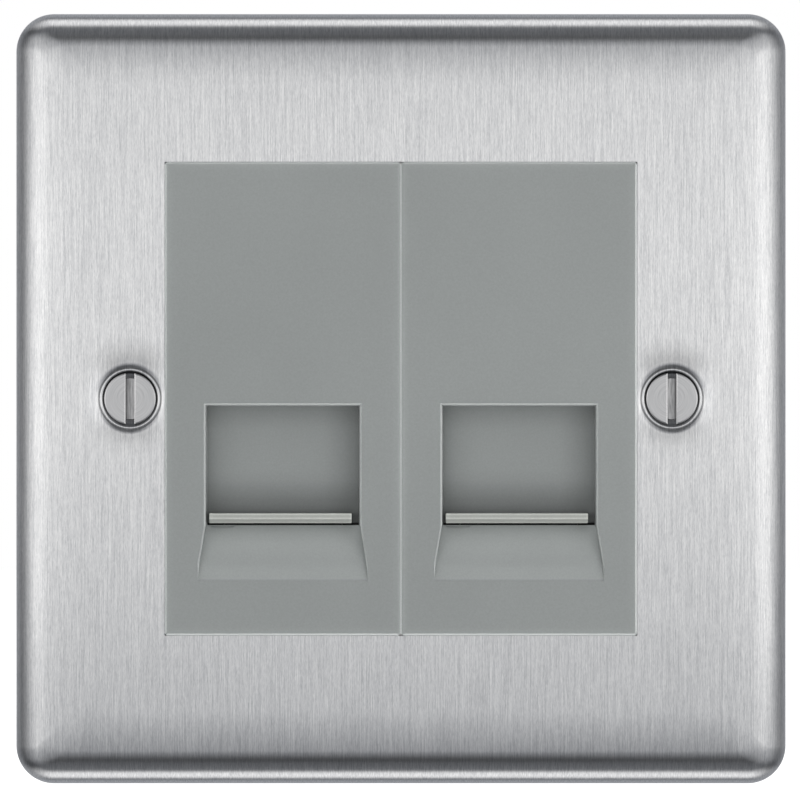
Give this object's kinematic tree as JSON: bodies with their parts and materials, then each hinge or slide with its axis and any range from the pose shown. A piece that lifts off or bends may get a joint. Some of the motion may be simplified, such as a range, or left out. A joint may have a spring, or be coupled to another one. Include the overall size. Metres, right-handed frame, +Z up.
{
  "type": "double telephone socket",
  "caption": "Square brushed steel wall plate with side-by-side grey telephone socket modules, sprung shutters, slotted fixing screws and rear wire terminals.",
  "frame": {"origin": "the wall plane at the middle of the plate, half way between the two fixing screws", "axes": "+X to the right as seen from the room, +Y into the wall, +Z up"},
  "size_m": [0.086, 0.0285, 0.086],
  "materials": {
    "brushed_steel": "vertically brushed satin steel",
    "screw_steel": "bright turned steel",
    "frame_plastic": "moulded black plastic",
    "grey_plastic": "fine satin grey plastic",
    "spring_steel": "drawn spring wire",
    "black_plastic": "moulded black plastic",
    "contact_metal": "gold-plated spring strip",
    "board_laminate": "green circuit board",
    "white_plastic": "moulded white plastic",
    "tinned_metal": "tinned sheet metal"
  },
  "bodies": {
    "socket": {"fixing_screws": "screw_steel", "front_plate": "brushed_steel", "left_circuit_board": "board_laminate", "left_contact_1": "contact_metal", "left_contact_2": "contact_metal", "left_contact_3": "contact_metal", "left_contact_4": "contact_metal", "left_contact_5": "contact_metal", "left_contact_6": "contact_metal", "left_contact_carrier": "black_plastic", "left_front_housing": "grey_plastic", "left_idc_block": "white_plastic", "left_idc_terminal_1": "tinned_metal", "left_idc_terminal_2": "tinned_metal", "left_idc_terminal_3": "tinned_metal", "left_idc_terminal_4": "tinned_metal", "left_idc_terminal_5": "tinned_metal", "left_idc_terminal_6": "tinned_metal", "left_jack_body": "black_plastic", "left_shutter_spring": "spring_steel", "rear_frame": "frame_plastic", "right_circuit_board": "board_laminate", "right_contact_1": "contact_metal", "right_contact_2": "contact_metal", "right_contact_3": "contact_metal", "right_contact_4": "contact_metal", "right_contact_5": "contact_metal", "right_contact_6": "contact_metal", "right_contact_carrier": "black_plastic", "right_front_housing": "grey_plastic", "right_idc_block": "white_plastic", "right_idc_terminal_1": "tinned_metal", "right_idc_terminal_2": "tinned_metal", "right_idc_terminal_3": "tinned_metal", "right_idc_terminal_4": "tinned_metal", "right_idc_terminal_5": "tinned_metal", "right_idc_terminal_6": "tinned_metal", "right_jack_body": "black_plastic", "right_shutter_spring": "spring_steel"},
    "left_shutter": {"left_shutter": "grey_plastic"},
    "right_shutter": {"right_shutter": "grey_plastic"}
  },
  "joints": [
    {"name": "left_shutter_slide", "type": "slide", "parent": "socket", "child": "left_shutter", "axis": [0, 0, 1], "range_m": [0, 0.0085], "stiffness_N_per_m": 40, "springref_m": -0.006, "deforming": ["left_shutter_spring"]},
    {"name": "right_shutter_slide", "type": "slide", "parent": "socket", "child": "right_shutter", "axis": [0, 0, 1], "range_m": [0, 0.0085], "stiffness_N_per_m": 40, "springref_m": -0.006, "deforming": ["right_shutter_spring"]}
  ]
}
